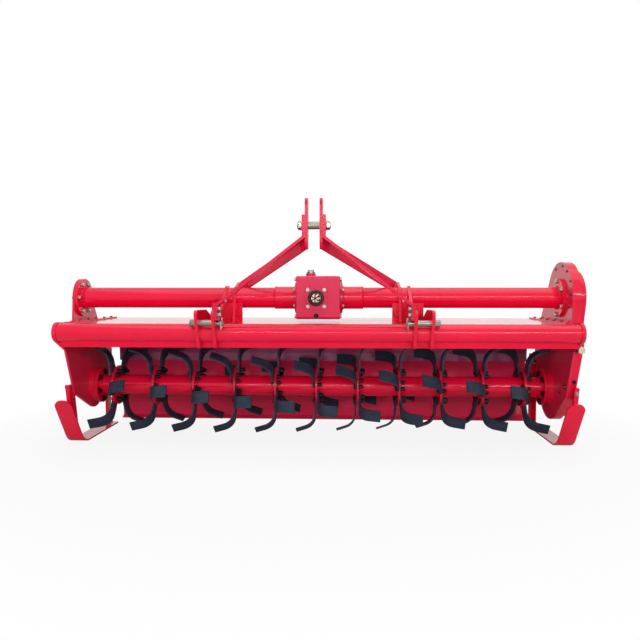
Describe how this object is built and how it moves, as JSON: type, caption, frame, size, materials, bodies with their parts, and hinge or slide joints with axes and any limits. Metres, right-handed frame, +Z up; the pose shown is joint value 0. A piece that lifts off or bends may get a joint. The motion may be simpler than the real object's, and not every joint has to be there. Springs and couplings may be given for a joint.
{
  "type": "rotary tiller",
  "caption": "Tractor-mounted rotary tiller with a three-point hitch, a centre gearbox, a side gear case, a bladed rotor under a hood, a hinged tailboard and side skids.",
  "frame": {"origin": "on the ground under the middle of the machine's outline", "axes": "+X towards the gear case, -Y towards the tractor, +Z up"},
  "size_m": [2.45, 0.796, 1.1369],
  "materials": {
    "red_paint": "gloss",
    "red_casting": "gloss paint over casting",
    "blade_steel": "satin black",
    "zinc_steel": "zinc plated"
  },
  "bodies": {
    "frame": {"beam_strip": "red_paint", "bearing_housing": "red_paint", "cross_tube_gear": "red_paint", "cross_tube_left": "red_paint", "deck_edge_gear": "red_paint", "deck_edge_left": "red_paint", "filler_cap": "zinc_steel", "front_beam": "red_paint", "gear_case_body": "red_paint", "gear_case_cover": "red_paint", "gear_hub": "red_paint", "gearbox_housing": "red_casting", "gearbox_input_flange": "red_casting", "hitch_pin_gear": "zinc_steel", "hitch_pin_left": "zinc_steel", "hitch_plate_inner_gear": "red_paint", "hitch_plate_inner_left": "red_paint", "hitch_plate_outer_gear": "red_paint", "hitch_plate_outer_left": "red_paint", "hood_deck": "red_paint", "hood_rear_wall": "red_paint", "mast_arm_gear": "red_paint", "mast_arm_left": "red_paint", "mast_brace_gear": "red_paint", "mast_brace_left": "red_paint", "side_plate_gear": "red_paint", "side_plate_left": "red_paint", "skid_front_strut_gear": "red_paint", "skid_front_strut_left": "red_paint", "skid_gear": "red_paint", "skid_left": "red_paint", "skid_rear_strut_gear": "red_paint", "skid_rear_strut_left": "red_paint", "tailboard_hinge_rod": "zinc_steel", "top_link_pin": "zinc_steel", "tube_saddle_gear": "red_paint", "tube_saddle_left": "red_paint"},
    "rotor": {"rotor_shaft": "red_paint", "blades_left": "blade_steel", "blades_right": "blade_steel"},
    "tailboard": {"tailboard_panel": "red_paint"},
    "input": {"input_shaft": "zinc_steel"}
  },
  "joints": [
    {"name": "rotor_turn", "type": "hinge", "parent": "frame", "child": "rotor", "pos_m": [0, 0.09, 0.254], "axis": [1, 0, 0], "continuous": true},
    {"name": "input_turn", "type": "hinge", "parent": "frame", "child": "input", "pos_m": [0, -0.21, 0.705], "axis": [0, -1, 0], "continuous": true},
    {"name": "tailboard_swing", "type": "hinge", "parent": "frame", "child": "tailboard", "pos_m": [0, 0.368, 0.38], "axis": [1, 0, 0], "range_deg": [0, 60]}
  ],
  "couplings": [
    {"joint": "input_turn", "follows": "rotor_turn", "ratio": 2.5}
  ]
}
